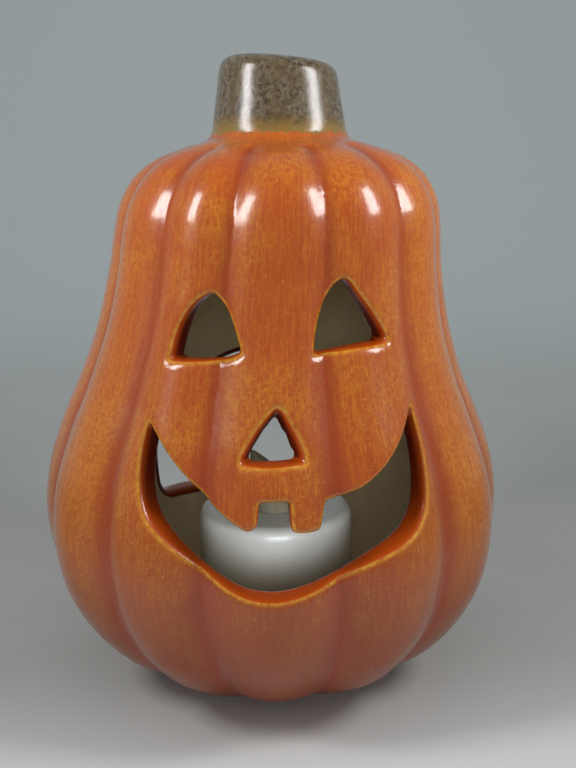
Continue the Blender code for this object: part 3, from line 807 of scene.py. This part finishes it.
def make_flame_tongue():
    """The hollow flame, drawn up and bent over to the left."""
    top = DISH_UNDERSIDE - FLAME_GAP
    neck = FLAME_HOLE - 0.4
    stem = [(6.6, top - 1.0, 0), (6.6, top - 0.2, 0), (6.4, top, 0), (neck, top, 0)]
    tongue = curve_through([
        (neck, 36.6, 0), (neck, 38.0, 0), (4.9, 39.6, -0.1), (5.2, 41.4, -0.4), (5.0, 43.4, -0.9),
        (4.3, 45.7, -1.7), (3.2, 48.0, -2.9), (2.0, 50.1, -4.1), (0.9, 51.7, -5.1),
        (0.35, 52.25, -5.45),
    ], 4)
    inner = curve_through([
        (3.5, top - 1.0, 0), (3.5, 36.0, 0), (3.6, 38.2, 0), (4.1, 41.5, -0.4),
        (3.5, 44.6, -1.2), (1.6, 46.0, -1.7),
    ], 3)
    rings = [[(-1.9, 0, 46.4)]]
    rings += [ring(r, z, 64, x) for r, z, x in reversed(inner)]
    rings += [ring(r, z, 64, x) for r, z, x in stem + tongue]
    rings.append([(FLAME_TIP[0], 0, FLAME_TIP[1])])
    return rings_to_object("flame_tongue", rings, False)


# ---------------------------------------------------------------- stage
CAMERA_PLACE = (3.5, -220.0, 117.6)
CAMERA_PITCH = 12.5
CAMERA_ROLL = -0.68
CAMERA_LENS = 930 / 768 * 36


def make_camera():
    data = bpy.data.cameras.new("camera")
    data.sensor_width = 36
    data.lens = CAMERA_LENS
    data.clip_start = 0.005
    camera = bpy.data.objects.new("camera", data)
    bpy.context.scene.collection.objects.link(camera)
    tilt = Matrix.Rotation(math.radians(90 - CAMERA_PITCH), 4, "X")
    roll = Matrix.Rotation(math.radians(CAMERA_ROLL), 4, "Z")
    camera.matrix_world = Matrix.Translation(Vector(CAMERA_PLACE) * MM) @ tilt @ roll
    bpy.context.scene.camera = camera


def softbox(name, azimuth, distance, low, high, width, radiance, color=(1, 1, 1)):
    """An upright lamp facing the figure's axis; azimuth is in degrees, 0 at the camera."""
    data = bpy.data.lights.new(name, "AREA")
    data.shape = "RECTANGLE"
    data.size = width * MM
    data.size_y = (high - low) * MM
    data.energy = radiance * math.pi * data.size * data.size_y
    data.color = color
    lamp = bpy.data.objects.new(name, data)
    bpy.context.scene.collection.objects.link(lamp)
    turn = math.radians(azimuth)
    away = Vector((math.sin(turn), -math.cos(turn), 0.0))
    lamp.location = away * distance * MM + Vector((0, 0, (low + high) / 2 * MM))
    lamp.rotation_euler = away.to_track_quat("Z", "Y").to_euler()
    lamp.visible_camera = False
    return lamp


def make_floor():
    """A pale sweep: flat under the figure and rising behind it."""
    bm = bmesh.new()
    bend = 0.35
    line = [(-1.2, 0.0), (0.55, 0.0)]
    for turn in np.linspace(0, math.pi / 2, 16)[1:]:
        line.append((0.55 + bend * math.sin(turn), bend * (1 - math.cos(turn))))
    line.append((0.9, 1.6))
    rows = [[bm.verts.new((x, y, z)) for x in (-1.5, 1.5)] for y, z in line]
    for a, b in zip(rows, rows[1:]):
        bm.faces.new((a[0], a[1], b[1], b[0]))
    mesh = bpy.data.meshes.new("sweep")
    bm.to_mesh(mesh)
    bm.free()
    mesh.polygons.foreach_set("use_smooth", [True] * len(mesh.polygons))
    floor = bpy.data.objects.new("sweep", mesh)
    bpy.context.scene.collection.objects.link(floor)
    paint = Paint("pale_cloth", Roughness=0.9, Specular_IOR_Level=0.2)
    cloud = paint.noise(paint.position(), 9, 3, 0.5)
    cloth = paint.mix(paint.ramp(cloud, 0.3, 0.7), srgb(180, 181, 178), srgb(188, 188, 185))
    depth = paint.node("SeparateXYZ", Vector=paint.position()).outputs["Y"]
    cloth = paint.mix(paint.ramp(depth, 0.05, 0.6), cloth, srgb(236, 240, 239))
    cloth = paint.mix(paint.ramp(depth, 0.0, -0.10), cloth, srgb(248, 252, 253))
    paint.set(Base_Color=cloth)
    mesh.materials.append(paint.material)


def make_world():
    world = bpy.data.worlds.new("studio")
    bpy.context.scene.world = world
    world.use_nodes = True
    background = world.node_tree.nodes["Background"]
    background.inputs["Color"].default_value = (0.90, 0.97, 1.0, 1.0)
    background.inputs["Strength"].default_value = 0.35


# ---------------------------------------------------------------- assembly
make_camera()
make_world()
softbox("left_softbox", -56.5, 180, 156, 272, 50, 18)
softbox("right_softbox", 65, 180, 152, 272, 58, 16)
fill = softbox("front_fill", 2, 620, 150, 280, 150, 5.5)
fill.visible_glossy = False
make_floor()

shell = make_shell()
shell.data.materials.append(glaze())
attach(shell, "shell")
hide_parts("pumpkin_shell")

cup = make_candle_cup()
cup.data.materials.append(wax_plastic())
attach(cup, "candle")
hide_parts("candle_body")

tongue = make_flame_tongue()
tongue.data.materials.append(clear_plastic("flame_plastic", srgb(158, 150, 130), 0.25))
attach(tongue, "candle")
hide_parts("flame")

only_candle = bpy.data.collections.new("only_candle")
only_candle.objects.link(cup)
only_candle.objects.link(tongue)
sheen = softbox("candle_sheen", 6, 420, 80, 250, 260, 11, (0.90, 0.96, 1.0))
sheen.light_linking.receiver_collection = only_candle

FINISHES = {
    "led": clear_plastic("led_epoxy", srgb(240, 226, 176), 0.08),
    "circuit_board": board(),
    "base_plate": moulded("insert_plastic", srgb(224, 221, 212), 0.45),
    "battery_cover": moulded("cover_plastic", srgb(220, 216, 206), 0.45),
    "cover_screw": plated("screw_steel", (0.55, 0.55, 0.56), 0.30),
    "coin_cell": plated("cell_nickel", (0.66, 0.65, 0.62), 0.24),
    "contact_negative": plated("leaf_metal", (0.66, 0.60, 0.48), 0.32),
    "contact_positive": plated("tab_metal", (0.62, 0.62, 0.61), 0.32),
    "switch_body": plated("switch_steel", (0.58, 0.58, 0.58), 0.30),
    "switch_knob": moulded("knob_plastic", srgb(38, 38, 40), 0.45),
}
for node, material in FINISHES.items():
    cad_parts[node].material_slots[0].material = material

bpy.context.scene.view_settings.view_transform = "Standard"
